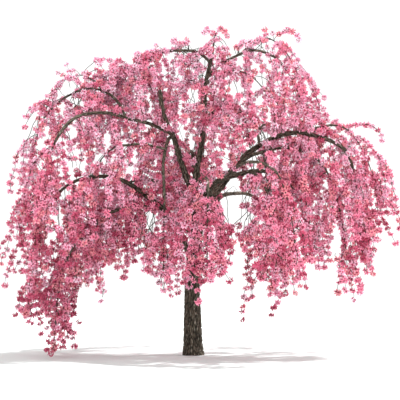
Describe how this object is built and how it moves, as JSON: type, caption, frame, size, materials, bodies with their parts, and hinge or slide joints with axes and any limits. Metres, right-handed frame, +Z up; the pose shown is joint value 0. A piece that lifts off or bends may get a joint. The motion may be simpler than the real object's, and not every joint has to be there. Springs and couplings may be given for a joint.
{
  "type": "weeping cherry tree",
  "caption": "Weeping cherry tree in full pink double blossom, leafless: a single trunk forks into arching boughs whose hanging strings of flowers reach almost to the ground",
  "frame": {"origin": "middle of the flat cut under the trunk, on level ground", "axes": "+X to the tree's right as pictured, +Y away from the camera to its back, +Z up the trunk"},
  "size_m": [4.0953, 3.1185, 3.4354],
  "materials": {
    "bark": "furrowed bark",
    "blossom": "matte petals"
  },
  "bodies": {
    "root": {"trunk": "bark", "left_leader": "bark", "centre_leader": "bark", "left_arch": "bark", "left_upper_arch": "bark", "left_crest": "bark", "front_left_drop": "bark", "left_inner": "bark", "lower_left": "bark", "low_left_drop": "bark", "lower_left_back": "bark", "crest_left": "bark", "crest_right": "bark", "crest_right_back": "bark", "right_inner": "bark", "centre_front": "bark", "right_arch": "bark", "far_right": "bark", "far_right_back": "bark", "lower_right": "bark", "middle_right": "bark", "right_drop": "bark", "lower_right_front": "bark", "right_rise": "bark", "front_right": "bark", "front_middle": "bark", "back_left": "bark", "back_middle": "bark", "back_right": "bark", "back_crest": "bark", "left_leader_blossom": "blossom", "centre_leader_blossom": "blossom", "left_arch_blossom": "blossom", "left_upper_arch_blossom": "blossom", "left_crest_blossom": "blossom", "front_left_drop_blossom": "blossom", "left_inner_blossom": "blossom", "lower_left_blossom": "blossom", "low_left_drop_blossom": "blossom", "lower_left_back_blossom": "blossom", "crest_left_blossom": "blossom", "crest_right_blossom": "blossom", "crest_right_back_blossom": "blossom", "right_inner_blossom": "blossom", "centre_front_blossom": "blossom", "right_arch_blossom": "blossom", "far_right_blossom": "blossom", "far_right_back_blossom": "blossom", "lower_right_blossom": "blossom", "middle_right_blossom": "blossom", "right_drop_blossom": "blossom", "lower_right_front_blossom": "blossom", "right_rise_blossom": "blossom", "front_right_blossom": "blossom", "front_middle_blossom": "blossom", "back_left_blossom": "blossom", "back_middle_blossom": "blossom", "back_right_blossom": "blossom", "back_crest_blossom": "blossom"}
  },
  "joints": []
}
